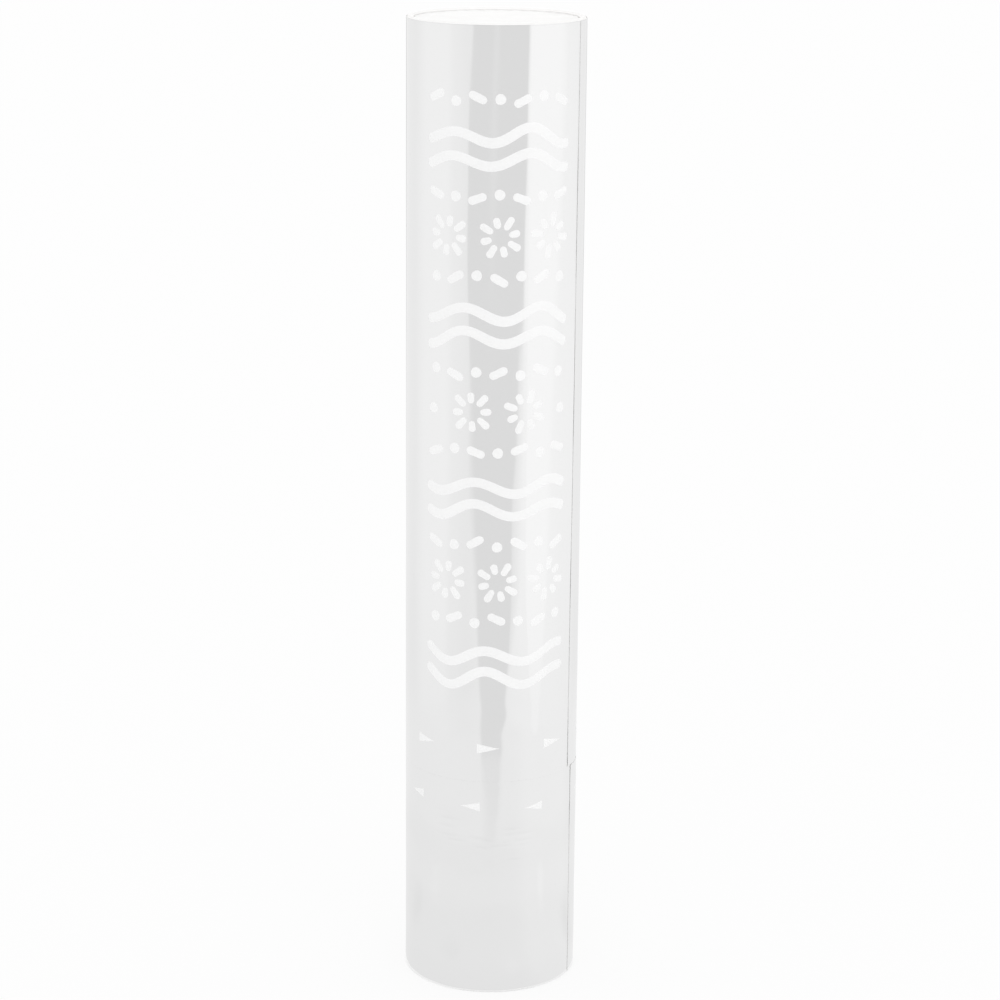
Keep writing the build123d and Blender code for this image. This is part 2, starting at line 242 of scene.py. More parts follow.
def grey(level, warmth=0.0):
    """A grey, a little warmer than neutral by warmth."""
    return (level, level - GREEN_SHARE * warmth, level - warmth)


def silver_foil():
    """Bright metallised paper: slightly uneven gloss, a fine orange-peel, rubbed cut edges, and painted
    shade in its creases.
    """
    paint = Paint("silver_foil", Metallic=1.0)
    worn_and_shaded = paint.sum(paint.attribute("wear_and_crease_shade"), paint.noise(3.0, detail=5.0), share=0.35)
    # darker on rubbed cut edges, which is wear, and in creases, which is painted shade
    paint.colour(worn_and_shaded, (0.15, grey(0.9)), (0.4, grey(0.893)), (1.15, grey(0.86)))
    haze = paint.sum(paint.noise(38.0, detail=5.0), paint.attribute("wear_and_crease_shade"))
    paint.rough(haze, 0.06, 0.13, start=0.35, end=0.95)
    peel = paint.noise(2.6, detail=2.0)
    lines = paint.noise(0.5, detail=3.0, stretch=(1, 1, 6))
    paint.bump(paint.sum(peel, lines, share=0.12), depth=0.0022, strength=0.6)


def wrap_paper():
    """White paper behind the foil, seen on its cut edges."""
    paint = Paint("wrap_paper")
    fibre = paint.noise(0.35, detail=5.0, stretch=(1, 1, 3))
    paint.colour(fibre, (0.3, grey(0.82, 0.015)), (0.7, grey(0.93, 0.01)))
    paint.rough(fibre, 0.75, 0.9)
    paint.bump(fibre, depth=0.01)


def white_ink():
    """Screen-printed white: satin, a little uneven in its cover, with some of the foil's gleam."""
    paint = Paint("white_ink", Metallic=0.25, Specular_IOR_Level=0.4)
    cover = paint.sum(paint.noise(0.45), paint.noise(9.0, detail=3.0))
    paint.colour(cover, (0.5, grey(0.887)), (0.75, grey(0.907)), (1.0, grey(0.915)))
    paint.rough(cover, 0.36, 0.52, start=0.5, end=0.95)
    paint.bump(paint.noise(0.3, detail=3.0), depth=0.003)


def white_card():
    """Wound card: plies that show as rings on the cut rims, and long fibres on the faces."""
    paint = Paint("white_card", Specular_IOR_Level=0.3)
    fibre = paint.noise(0.5, detail=6.0, stretch=(4, 4, 1))
    plies = paint.sum(paint.rings(0.36, wander=0.6), fibre, share=1.1)
    paint.colour(plies, (0.45, grey(0.84, 0.016)), (0.95, grey(0.91, 0.012)), (1.5, grey(0.94, 0.008)))
    paint.rough(fibre, 0.78, 0.95)
    paint.bump(plies, depth=0.03)


def grey_card():
    """Grey board with dark and light flecks."""
    paint = Paint("grey_card", Specular_IOR_Level=0.2)
    fine = paint.noise(0.7, detail=8.0, stretch=(1, 2, 1), rough=0.75)
    fleck = paint.sum(fine, paint.noise(6.0, detail=2.0), share=0.3)
    stops = (0.38, (0.3, 0.28, 0.25)), (0.55, (0.56, 0.53, 0.48)), (0.8, (0.7, 0.67, 0.62))
    paint.colour(fleck, *stops)
    paint.rough(fleck, 0.85, 0.97)
    paint.bump(fleck, depth=0.05, strength=0.6)


def white_paper():
    """Matt white paper with fibres, and painted shade in its folds."""
    paint = Paint("white_paper", Specular_IOR_Level=0.25)
    fibre = paint.noise(0.4, detail=6.0, stretch=(2, 1, 1), rough=0.65)
    cloudy = paint.sum(fibre, paint.noise(7.0, detail=3.0), share=0.4)
    # painted shade: darker where the pleated edge is folded
    tone = paint.sum(cloudy, paint.attribute("fold"), share=-0.25)
    paint.colour(tone, (0.35, grey(0.83, 0.012)), (0.7, grey(0.9, 0.008)), (1.0, grey(0.925, 0.005)))
    paint.rough(fibre, 0.72, 0.9)
    paint.bump(fibre, depth=0.02)


def moulded(name, dark, light, low, high):
    """Satin moulding: a fine eroded texture with faint flow marks."""
    paint = Paint(name, Specular_IOR_Level=0.45)
    texture = paint.noise(0.16, detail=3.0)
    flow = paint.sum(paint.noise(9.0, stretch=(1, 1, 3)), texture, share=0.25)
    paint.colour(flow, (0.4, dark), (0.85, light))
    paint.rough(flow, low, high, start=0.4, end=0.9)
    paint.bump(texture, depth=0.012)


def drawn_metal(name, dark, light, low, high, stretch):
    """Metal with fine lines along the way it was drawn or ground."""
    paint = Paint(name, Metallic=1.0)
    lines = paint.noise(0.22, detail=5.0, stretch=stretch, rough=0.7)
    blotch = paint.sum(lines, paint.noise(8.0))
    paint.colour(blotch, (0.45, dark), (1.0, light))
    paint.rough(blotch, low, high, start=0.45, end=1.0)
    paint.bump(lines, depth=0.006, strength=0.6)


def black_rubber():
    """Matt rubber with a dusty bloom."""
    paint = Paint("black_rubber", Specular_IOR_Level=0.35)
    bloom = paint.sum(paint.noise(0.25), paint.noise(3.0), share=0.7)
    paint.colour(bloom, (0.6, grey(0.018)), (1.1, grey(0.05)))
    paint.rough(bloom, 0.62, 0.88, start=0.5, end=1.1)
    paint.bump(paint.noise(0.18, detail=3.0), depth=0.015, strength=0.6)


def foil_slips():
    """Cut metallised slips: bright, each with a tone and gloss of its own."""
    paint = Paint("foil_slips", Metallic=1.0)
    tone = paint.sum(paint.attribute("tone"), paint.noise(2.5), share=0.3)
    paint.colour(tone, (0.1, grey(0.62)), (0.6, grey(0.8)), (1.1, grey(0.9)))
    paint.rough(tone, 0.1, 0.3, start=0.1, end=1.1)
    paint.bump(paint.noise(1.6, detail=3.0), depth=0.01)


def tissue_slips():
    """Cut white tissue: soft fibres, each slip with a slightly different white."""
    paint = Paint("tissue_slips", Specular_IOR_Level=0.15)
    fibre = paint.noise(0.35, detail=6.0, stretch=(1, 1, 3), rough=0.7)
    tone = paint.sum(paint.attribute("tone"), fibre)
    paint.colour(tone, (0.2, grey(0.8, 0.012)), (0.8, grey(0.9, 0.008)), (1.3, grey(0.94, 0.004)))
    paint.rough(fibre, 0.85, 0.97)
    paint.bump(fibre, depth=0.02, strength=0.6)


silver_foil()
wrap_paper()
white_ink()
white_card()
grey_card()
white_paper()
moulded("white_plastic", grey(0.82, 0.01), grey(0.89, 0.01), 0.38, 0.52)
moulded("natural_plastic", (0.76, 0.73, 0.65), (0.84, 0.82, 0.76), 0.3, 0.45)
moulded("grey_plastic", (0.38, 0.4, 0.43), (0.45, 0.47, 0.5), 0.36, 0.5)
drawn_metal("bottle_aluminium", grey(0.68), grey(0.82), 0.2, 0.38, (1, 1, 40))
drawn_metal("pin_steel", grey(0.52), grey(0.66), 0.18, 0.32, (1, 12, 12))
black_rubber()
foil_slips()
tissue_slips()

for subpart in frame["record"]["subparts"]:
    node = frame["nodes"][subpart["node"]]
    if not node.material_slots:
        node.data.materials.append(None)
    for place in node.material_slots:
        place.material = SKINS[subpart["material_slot"]]


# Foil wraps

FOIL = 0.09  # thickness of the foil paper
SEAM_CREEP = 0.094  # of each wrap's edge into the twist seam
SEAM_OPEN = 60.0  # distance round from the free edge over which the creep comes up
SEAM_SETTLE = 5.0  # from the seam, over which the foil becomes uneven

# The strip where the foil lies over itself, up to its free edge
LAP_STEP = 0.1  # its height over the single layer
LAP_WIDTH = 7.0
LAP_RAMP = 0.9  # over which it comes down to the single layer
LIFT = 0.022  # of the free edge
LIFT_WAVES = ((0.012, 9.0, 1.0), (0.008, 3.7, 0.0))  # size, height for 1 radian, phase
LIFT_REACH = 2.2  # from the free edge
PRESSED_SHARE = 0.3  # of its lift that the edge keeps where it is pressed flat

# Dents and creases, where hands have gripped the foil
DENT = 7.0
DENT_DEPTH = 0.07
DENT_TOP = 112.0  # height above which there are none
DENT_FADE = 36.0  # over which they fade
CREASE_WIDTH = 0.42  # half the width of a crease
CREASE_DEPTH = 0.02
CREASE_SIDES = ((0, 16), (180, 14))  # angle, and the number of creases there
CREASE_SPREAD = 32.0  # to each side of that angle
CREASE_HEIGHT = 47.5
CREASE_SCATTER = 4.0  # of their heights
CREASE_HALF_LENGTHS = (1.2, 5.5)
CREASE_SLOPE = 0.015

# Cut edges
FRAY = 0.004  # how far an edge stands off
FRAY_REACH = 0.9
FRAY_WAVES = (7, 17)  # round the tube
FRAY_PHASE = 1.3
RUBBED = 0.3  # reach of the wear along an edge
CREASE_SHADE = 0.5  # share of an edge's wear that a crease takes, as painted shade

# Slow waves in the foil: number round the tube, length up the tube, phase and size
BARREL_RIPPLES = (
    (6, 150.0, 0.5, 0.02),
    (9, -95.0, 2.1, 0.014),
    (13, 61.0, 4.0, 0.008),
    (4, -38.0, 1.2, 0.005),
    (19, 47.0, 5.1, 0.003),
)
BASE_RIPPLES = (
    (5, 90.0, 3.3, 0.02),
    (9, -55.0, 0.7, 0.014),
    (14, 33.0, 2.4, 0.008),
    (3, 21.0, 5.5, 0.004),
)

# Places of the mesh's points, which are close where the foil bends
LAP_COLUMNS = (0, 0.12, 0.3, 0.55, 0.85, 1.2, 1.6, 2.1, 2.7, 3.4, 4.2, 5.1, 6.1, LAP_WIDTH)
RAMP_COLUMNS = 4
PLAIN_COLUMNS = 196
UNDER_COLUMNS = 8
EDGE_ROWS = (0, 0.25, 0.6, 1.1, 1.8, 2.8)  # from a cut edge
TINY = 1e-6


def wrap_columns():
    """Distances from the free edge at which a wrap's mesh has points."""
    ramp = [LAP_WIDTH + LAP_RAMP * k / RAMP_COLUMNS for k in range(1, RAMP_COLUMNS + 1)]
    plain = [ramp[-1] + (GIRTH - ramp[-1]) * k / PLAIN_COLUMNS for k in range(1, PLAIN_COLUMNS + 1)]
    under = [GIRTH + LAP_WIDTH * k / UNDER_COLUMNS for k in range(1, UNDER_COLUMNS + 1)]
    return [*LAP_COLUMNS, *ramp, *plain, *under]


class Wrap(Shape):
    """Foil paper wound once round the tube, from its free edge to an end under the lap strip."""

    def __init__(self, low, high, lap_angles, corner, pressed, ripples, creases):
        super().__init__()
        self.low = low
        self.high = high
        self.above = low > SEAM - 1  # the twist seam is at its foot
        self.lap_angles = lap_angles  # of the free edge, at its foot and its head
        self.corner = corner  # lift, width and height of that edge's corner at the twist seam
        self.pressed = pressed  # heights at which that edge is pressed flat, and free of that
        self.ripples = ripples
        self.creases = creases

    def lap_angle(self, z):
        """Where the free edge is at a height."""
        foot, head = self.lap_angles
        return foot + (head - foot) * (z - self.low) / (self.high - self.low)

    def from_seam(self, z):
        """Distance from the end at the twist seam."""
        return z - self.low if self.above else self.high - z

    def cut_edge(self, along, z):
        """The height of a point of the mesh, held back from the seam near the free edge."""
        near = smooth(1 - self.from_seam(z) / EDGE_ROWS[-1])
        short = SEAM_CREEP * smooth(1 - along / SEAM_OPEN) * near
        return z + short if self.above else z - short

    def fold(self, angle, z):
        """1 in the middle of a crease, falling to 0 at its sides and ends."""
        deepest = 0.0
        for middle, height, half, slope in self.creases:
            across = (angle - middle + 180) % 360 - 180
            run = radians(across) * TUBE_R
            if abs(run) < half:
                off_line = (z - height - slope * run) / CREASE_WIDTH
                deepest = max(deepest, exp(-off_line * off_line) * (1 - (run / half) ** 2) ** 2)
        return deepest

    def uneven(self, angle, z):
        """How far the glued foil stands off its true radius."""
        a = radians(angle)
        off = sum(s * sin(n * a + tau * z / length + p) for n, length, p, s in self.ripples)
        spot = Vector((TUBE_R * sin(a), TUBE_R * cos(a), z)) / DENT
        off += DENT_DEPTH * smooth((DENT_TOP - z) / DENT_FADE) * noise.noise(spot)
        off *= smooth(self.from_seam(z) / SEAM_SETTLE)
        off -= CREASE_DEPTH * self.fold(angle, z)
        edge = min(z - self.low, self.high - z)
        slow, fast = FRAY_WAVES
        waves = 1 + sin(slow * a + FRAY_PHASE) * sin(fast * a)
        return off + FRAY * exp(-edge / FRAY_REACH) * waves

    def lift(self, along, z):
        """How far the strip stands off near its free edge."""
        edge = LIFT
        for size, length, phase in LIFT_WAVES:
            edge += size * sin(z / length + phase)
        flat, free = self.pressed
        edge *= PRESSED_SHARE + (1 - PRESSED_SHARE) * smooth((z - flat) / (free - flat))
        corner, wide, tall = self.corner
        corner *= smooth(1 - self.from_seam(z) / tall)
        return edge * smooth(1 - along / LIFT_REACH) ** 2 + corner * smooth(1 - along / wide) ** 2

    def strip(self, along, z):
        """Extra height of the strip over the single layer."""
        return LAP_STEP * smooth(1 - (along - LAP_WIDTH) / LAP_RAMP) + self.lift(along, z)

    def along(self, angle, z):
        """Distance from the free edge round to an angle."""
        return radians((angle - self.lap_angle(z)) % 360) * TUBE_R

    def radius(self, angle, z):
        """Outside of the foil."""
        return TUBE_R + self.uneven(angle, z) + self.strip(self.along(angle, z), z)

    def rows(self, height):
        """Heights at which the mesh has points, a row's height apart or closer."""
        start, end = self.low + EDGE_ROWS[-1], self.high - EDGE_ROWS[-1]
        count = ceil((end - start) / height)
        middle = [start + (end - start) * k / count for k in range(1, count)]
        return [self.low + e for e in EDGE_ROWS] + middle + [self.high - e for e in reversed(EDGE_ROWS)]

    def wear_and_crease_shade(self, along, angle, z):
        """1 on a cut edge away from the twist seam, where the foil is worn, less in a crease, where it
        is painted shade, and 0 elsewhere.
        """
        end = self.high - z if self.above else z - self.low
        edge = max(exp(-end / RUBBED), exp(-along / RUBBED))
        # a crease takes a share of an edge's wear as painted shade
        return max(edge, CREASE_SHADE * self.fold(angle, z))

    def build(self, name, body, node, row):
        """The wrap's piece, foil outside and paper on its back and its cut edges."""
        columns = wrap_columns()
        rows = self.rows(row)
        wide, tall = len(columns), len(rows)
        # wear on the cut edges, and painted shade in the creases
        worn_and_shaded = self.numbers["wear_and_crease_shade"] = []
        for depth in (0, FOIL):
            for z in rows:
                for along in columns:
                    angle = self.lap_angle(z) + degrees(along / TUBE_R)
                    off = self.uneven(angle, z)
                    if along < GIRTH - TINY:
                        off += self.strip(along, z)
                    self.points.append(point(angle, TUBE_R + off - depth, self.cut_edge(along, z)))
                    worn_and_shaded.append(self.wear_and_crease_shade(along, angle, z))
        inside = wide * tall
        self.grid(tall, wide, 0)
        self.grid(tall, wide, inside, 1, flip=True)
        for k in range(wide - 1):
            top = (tall - 1) * wide + k
            self.face((inside + k, inside + k + 1, k + 1, k), 1)
            self.face((top, top + 1, inside + top + 1, inside + top), 1)
        for j in range(tall - 1):
            a, b = j * wide, (j + 1) * wide
            self.face((a, b, inside + b, inside + a), 1)
            a, b = a + wide - 1, b + wide - 1
            self.face((inside + a, inside + b, b, a), 1)
        self.piece(name, body, ["silver_foil", "wrap_paper"], node)


def grip_creases():
    """Angle, height, half length and slope of each crease in the base."""
    made = []
    for side, count in CREASE_SIDES:
        for _ in range(count):
            angle = side + random.uniform(-CREASE_SPREAD, CREASE_SPREAD)
            height = random.gauss(CREASE_HEIGHT, CREASE_SCATTER)
            half = random.uniform(*CREASE_HALF_LENGTHS)
            made.append((angle, height, half, random.gauss(0.0, CREASE_SLOPE)))
    return made


low, high = heights("barrel_wrap")
barrel_foil = Wrap(
    low - SEAM_CREEP,
    high,
    lap_angles=(62.6, 66.2),
    corner=(0.036, 5.0, 7.0),
    pressed=(275.0, 255.0),
    ripples=BARREL_RIPPLES,
    creases=[],
)
barrel_foil.build("foil_barrel", "barrel", "barrel_wrap", row=1.5)

low, high = heights("base_wrap")
base_foil = Wrap(
    low,
    high + SEAM_CREEP,
    lap_angles=(67.4, 67.4),
    corner=(0.035, 4.0, 6.0),
    pressed=(34.0, 48.0),
    ripples=BASE_RIPPLES,
    creases=grip_creases(),
)
base_foil.build("foil_base", "base", "base_wrap", row=0.32)


# White print

INK_RIM, INK_SHOULDER, INK_MIDDLE = -0.008, 0.012, 0.014  # above the foil
INK_ACROSS = (-1.0, -0.88, 0.0, 0.88, 1.0)  # share of the half width
INK_RISE = (INK_RIM, INK_SHOULDER, INK_MIDDLE, INK_SHOULDER, INK_RIM)
INK_UNDER = 0.02  # from a dot's rim to the middle of its back
STROKE = 2.9  # width of a printed line
STEP = 0.5  # between points along a line
END_STEPS = (0.0, 0.05, 0.15, 0.3, 0.5, 0.75, 1.0, 1.3)  # closer at its ends, to round them
END_SHARE = 0.14  # of its width that is left at its very ends
WOBBLE = 0.04  # share by which its width varies
WOBBLE_TURN = 9  # phase of that along the line
DOT_SIDES = 24
DOT_SHOULDER = 0.8  # share of the radius
DOT_WOBBLE = 0.03
DOT_LOBES = 3
ARROW_STEPS = 14
ARROW_TIP = 0.07  # share of the height that is left at the tip
INK_SHARP = 80.0


def lengths_along(path):
    """Distance along a path to each of its points."""
    run = [0.0]
    for a, b in zip(path, path[1:]):
        run.append(run[-1] + hypot(b[0] - a[0], b[1] - a[1]))
    return run


def even_steps(path):
    """The same path with points STEP apart, and closer at both ends."""
    run = lengths_along(path)
    total, end = run[-1], END_STEPS[-1]
    count = max(2, round((total - 2 * end) / STEP))
    gap = (total - 2 * end) / count
    stops = [*END_STEPS]
    stops += [end + gap * k for k in range(1, count)]
    stops += [total - e for e in reversed(END_STEPS)]
    made, k = [], 0
    for stop in stops:
        while k < len(run) - 2 and run[k + 1] < stop:
            k += 1
        share = (stop - run[k]) / (run[k + 1] - run[k])
        a, b = path[k], path[k + 1]
        made.append((a[0] + (b[0] - a[0]) * share, a[1] + (b[1] - a[1]) * share))
    return made


class Print(Shape):
    """Ink on a wrap, drawn flat in (across, height) points, with across to the right from the front."""

    def __init__(self, wrap):
        super().__init__()
        self.wrap = wrap

    def spot(self, across, z, rise):
        """A point of the ink, rise above the foil."""
        angle = degrees(across / TUBE_R)
        self.points.append(point(angle, self.wrap.radius(angle, z) + rise, z))

    def ribbon(self, path, halves):
        """A band of ink along a path, with a half width at each of its points."""
        first = len(self.points)
        count, wide = len(path), len(INK_ACROSS)
        for i, (across, z) in enumerate(path):
            before, after = path[max(0, i - 1)], path[min(count - 1, i + 1)]
            run, climb = after[0] - before[0], after[1] - before[1]
            length = hypot(run, climb)
            for share, rise in zip(INK_ACROSS, INK_RISE):
                side = share * halves[i] / length
                self.spot(across - climb * side, z + run * side, rise)
        for i in range(count - 1):
            a, b = first + i * wide, first + (i + 1) * wide
            for k in range(wide - 1):
                self.face((a + k, b + k, b + k + 1, a + k + 1))
            self.face((a, a + wide - 1, b + wide - 1, b))
        last = first + (count - 1) * wide
        self.face(range(first, first + wide))
        self.face(range(last, last + wide), flip=True)

    def line(self, path, width=STROKE, taper=1.0):
        """A stroke with round ends along a path, taper times as wide at its far end."""
        path = even_steps(path)
        run = lengths_along(path)
        halves = []
        for r in run:
            share = r / run[-1]
            wobble = 1 + WOBBLE * sin(WOBBLE_TURN * share + path[0][1])
            half = width / 2 * (1 + (taper - 1) * share) * wobble
            end = min(r, run[-1] - r)
            round_off = sqrt(max(0.0, 1 - (1 - min(1.0, end / half)) ** 2))
            halves.append(max(half * round_off, END_SHARE * half))
        self.ribbon(path, halves)

    def dot(self, across, z, radius):
        """A round spot of ink."""
        first = len(self.points)
        self.spot(across, z, INK_MIDDLE)
        for share, rise in ((DOT_SHOULDER, INK_SHOULDER), (1.0, INK_RIM)):
            for k in range(DOT_SIDES):
                a = tau * k / DOT_SIDES
                bulge = radius * share * (1 + DOT_WOBBLE * sin(DOT_LOBES * a + z))
                self.spot(across + bulge * cos(a), z + bulge * sin(a), rise)
        self.spot(across, z, INK_RIM - INK_UNDER)
        under = len(self.points) - 1
        inner, outer = first + 1, first + 1 + DOT_SIDES
        for k in range(DOT_SIDES):
            n = (k + 1) % DOT_SIDES
            self.face((first, inner + k, inner + n))
            self.face((inner + k, outer + k, outer + n, inner + n))
            self.face((outer + k, under, outer + n))

    def arrow(self, angle, z, length, height):
        """A solid triangle at an angle, with its tip to the right, or left for a negative length."""
        middle = radians(angle) * TUBE_R
        shares = [k / ARROW_STEPS for k in range(ARROW_STEPS + 1)]
        path = [(middle + length * (share - 0.5), z) for share in shares]
        self.ribbon(path, [height / 2 * max(ARROW_TIP, 1 - share) for share in shares])


# The design on the barrel, and its wavy lines in pairs
DESIGN_LEFT, DESIGN_RIGHT = -20.5, 23.0  # its ends, across from the front
LINE_PAIRS = 4
LINE_FOOT = 96.0  # height of the lowest pair
LINE_PITCH = 49.0
LINE_TWIN = 6.6  # from one line of a pair to the other
LINE_SIZE = 2.6
LINE_WAVES = 2.0
LINE_PHASE = 0.4  # and more for each pair
LINE_STEPS = 160
SWELL = 0.2  # share by which the waves' size varies
SWELL_TURN = 4  # phase of that along the line
SWELL_RISE = 7  # height in which it goes up by 1
HAND = ((0.3, 5.3, 1), (0.15, 11, 2))  # unsteady hand: size, phase along the line and by height


def streamer(ink, z, phase):
    """A wavy line right across the design."""
    path = []
    for k in range(LINE_STEPS + 1):
        share = k / LINE_STEPS
        hand = sum(size * sin(turn * share + rise * z) for size, turn, rise in HAND)
        swell = LINE_SIZE * (1 - SWELL + SWELL * sin(SWELL_TURN * share + z / SWELL_RISE))
        height = z + swell * sin(tau * LINE_WAVES * share + phase) + hand
        path.append((DESIGN_LEFT + (DESIGN_RIGHT - DESIGN_LEFT) * share, height))
    ink.line(path)


# Its bursts
BURST_ROWS = (
    (124.2, (-13.5, 1.5, 16.5)),
    (173.2, (-6.2, 9.0)),
    (222.2, (-13.5, 1.5, 16.5)),
)  # height, and places across
BURST_SIZE = 6.5
BURST_TURN = 0.2  # radians, and more to the right
BURST_TURN_RUN = 40  # across which that goes up by 1
RAYS = 8
RAY_SHORT = 0.86  # share of every other ray
RAY_INNER = 0.38  # share that is left empty
RAY_WIDTH = 1.8
RAY_TAPER = 1.25


def burst(ink, across, z):
    """Short rays round an empty middle."""
    for k in range(RAYS):
        a = tau * k / RAYS + (BURST_TURN + across / BURST_TURN_RUN)
        reach = BURST_SIZE * (1 if k % 2 else RAY_SHORT)
        inner = RAY_INNER * BURST_SIZE
        radii = (inner, (inner + reach) / 2, reach)
        ray = [(across + r * cos(a), z + r * sin(a)) for r in radii]
        ink.line(ray, RAY_WIDTH, RAY_TAPER)


# Its rows of dots and dashes
SCATTER_COUNT = 7
SCATTER_ROWS = (
    (113.0, 0, 25),
    (135.2, 1, -30),
    (162.0, 1, 20),
    (184.2, 0, -25),
    (211.0, 0, 30),
    (233.2, 1, -20),
    (259.8, 1, 25),
)  # height, 1 if a dash comes first, and tilt of the dashes
SCATTER = 0.7  # up and down
SCATTER_TURN = 2.4  # phase of that from one to the next
DOT_R = 1.6
DASH_HALF = 2.7
DASH_WIDTH = 2.4
SIDE_DOTS = ((-18.3, 173.2), (20.8, 173.2))


def scatter(ink, z, order, tilt):
    """A row of dots and short dashes by turns."""
    gap = (DESIGN_RIGHT - DESIGN_LEFT) / SCATTER_COUNT
    for k in range(SCATTER_COUNT):
        across = DESIGN_LEFT + gap * (k + 0.5)
        height = z + SCATTER * sin(SCATTER_TURN * k + z)
        if (k + order) % 2:
            a = radians(tilt * (1 if k % 4 < 2 else -1))
            run, climb = DASH_HALF * cos(a), DASH_HALF * sin(a)
            dash = [(across - run, height - climb), (across, height), (across + run, height + climb)]
            ink.line(dash, DASH_WIDTH)
        else:
            ink.dot(across, height, DOT_R)


def barrel_design():
    """The generic design: wavy lines, and between them rows of dots, dashes and bursts."""
    ink = Print(barrel_foil)
    for k in range(LINE_PAIRS):
        level = LINE_FOOT + LINE_PITCH * k
        for twin in (0, LINE_TWIN):
            streamer(ink, level + twin, LINE_PHASE + level / LINE_PITCH)
    for level, order, tilt in SCATTER_ROWS:
        scatter(ink, level, order, tilt)
    for level, places in BURST_ROWS:
        for place in places:
            burst(ink, place, level)
    for place, level in SIDE_DOTS:
        ink.dot(place, level, DOT_R)
    ink.piece("print_design", "barrel", ["white_ink"], sharp=INK_SHARP)


# Arrows that show which way to twist: angles, height, change of height, and an arrow's size
UPPER_ARROWS = ((-188.0, -141.5, -95.0, -48.5, -2.0, 44.5, 88.5, 128.5), 75.0, 0.0, (6.3, 3.0))
LOWER_ARROWS = ((-187.5, -144.0, -100.5, -57.0, -13.5, 30.0, 82.0, 126.0), 57.3, 1.3, (-5.6, 2.7))
TILT_FROM = 12


def twist_arrows(name, body, wrap, angles, level, tilt, size):
    """A row of arrows round a wrap."""
    ink = Print(wrap)
    for angle in angles:
        ink.arrow(angle, level - tilt * sin(radians(angle + TILT_FROM)), *size)
    ink.piece(name, body, ["white_ink"], sharp=INK_SHARP)


barrel_design()
twist_arrows("print_arrows_barrel", "barrel", barrel_foil, *UPPER_ARROWS)
twist_arrows("print_arrows_base", "base", base_foil, *LOWER_ARROWS)


# Paper lid in the muzzle

LID_SPRING = 0.07  # of the paper, out towards the card
LID_PAPER = 0.3
LID_FOLD = 0.5  # radius of the folded edge
LID_DIP = 0.09  # of the disc under its full height
LID_SAG = 0.22
LID_RIPPLE = 0.09
RIPPLE_SIZE = 7
RIPPLE_PLACE = 3.1  # where the noise is cut
PLEATS = 34
PLEAT_COLUMNS = 8
LID_COLUMNS = PLEATS * PLEAT_COLUMNS
PLEAT_DEPTH = 0.12
PLEAT_RISE = 0.75  # share of its width over which a pleat rises
PLEAT_REACHES = (2.5, 7.5)  # of its crease, inwards
PLEAT_CRESTS = (0.6, 1.0)  # share of the depth to which it rises
SKIRT_DRAW = 0.1  # inwards at the skirt's foot
LID_RADII = (2, 4, 6, 8, 10, 12, 14, 15.5, 17, 18.2, 19.2, 20, 20.7, 21.3, 21.8)
FOLD_ANGLES = (0, 18, 36, 54, 72, 90)
SKIRT_ROWS = 7
LID_SHARP = 50.0


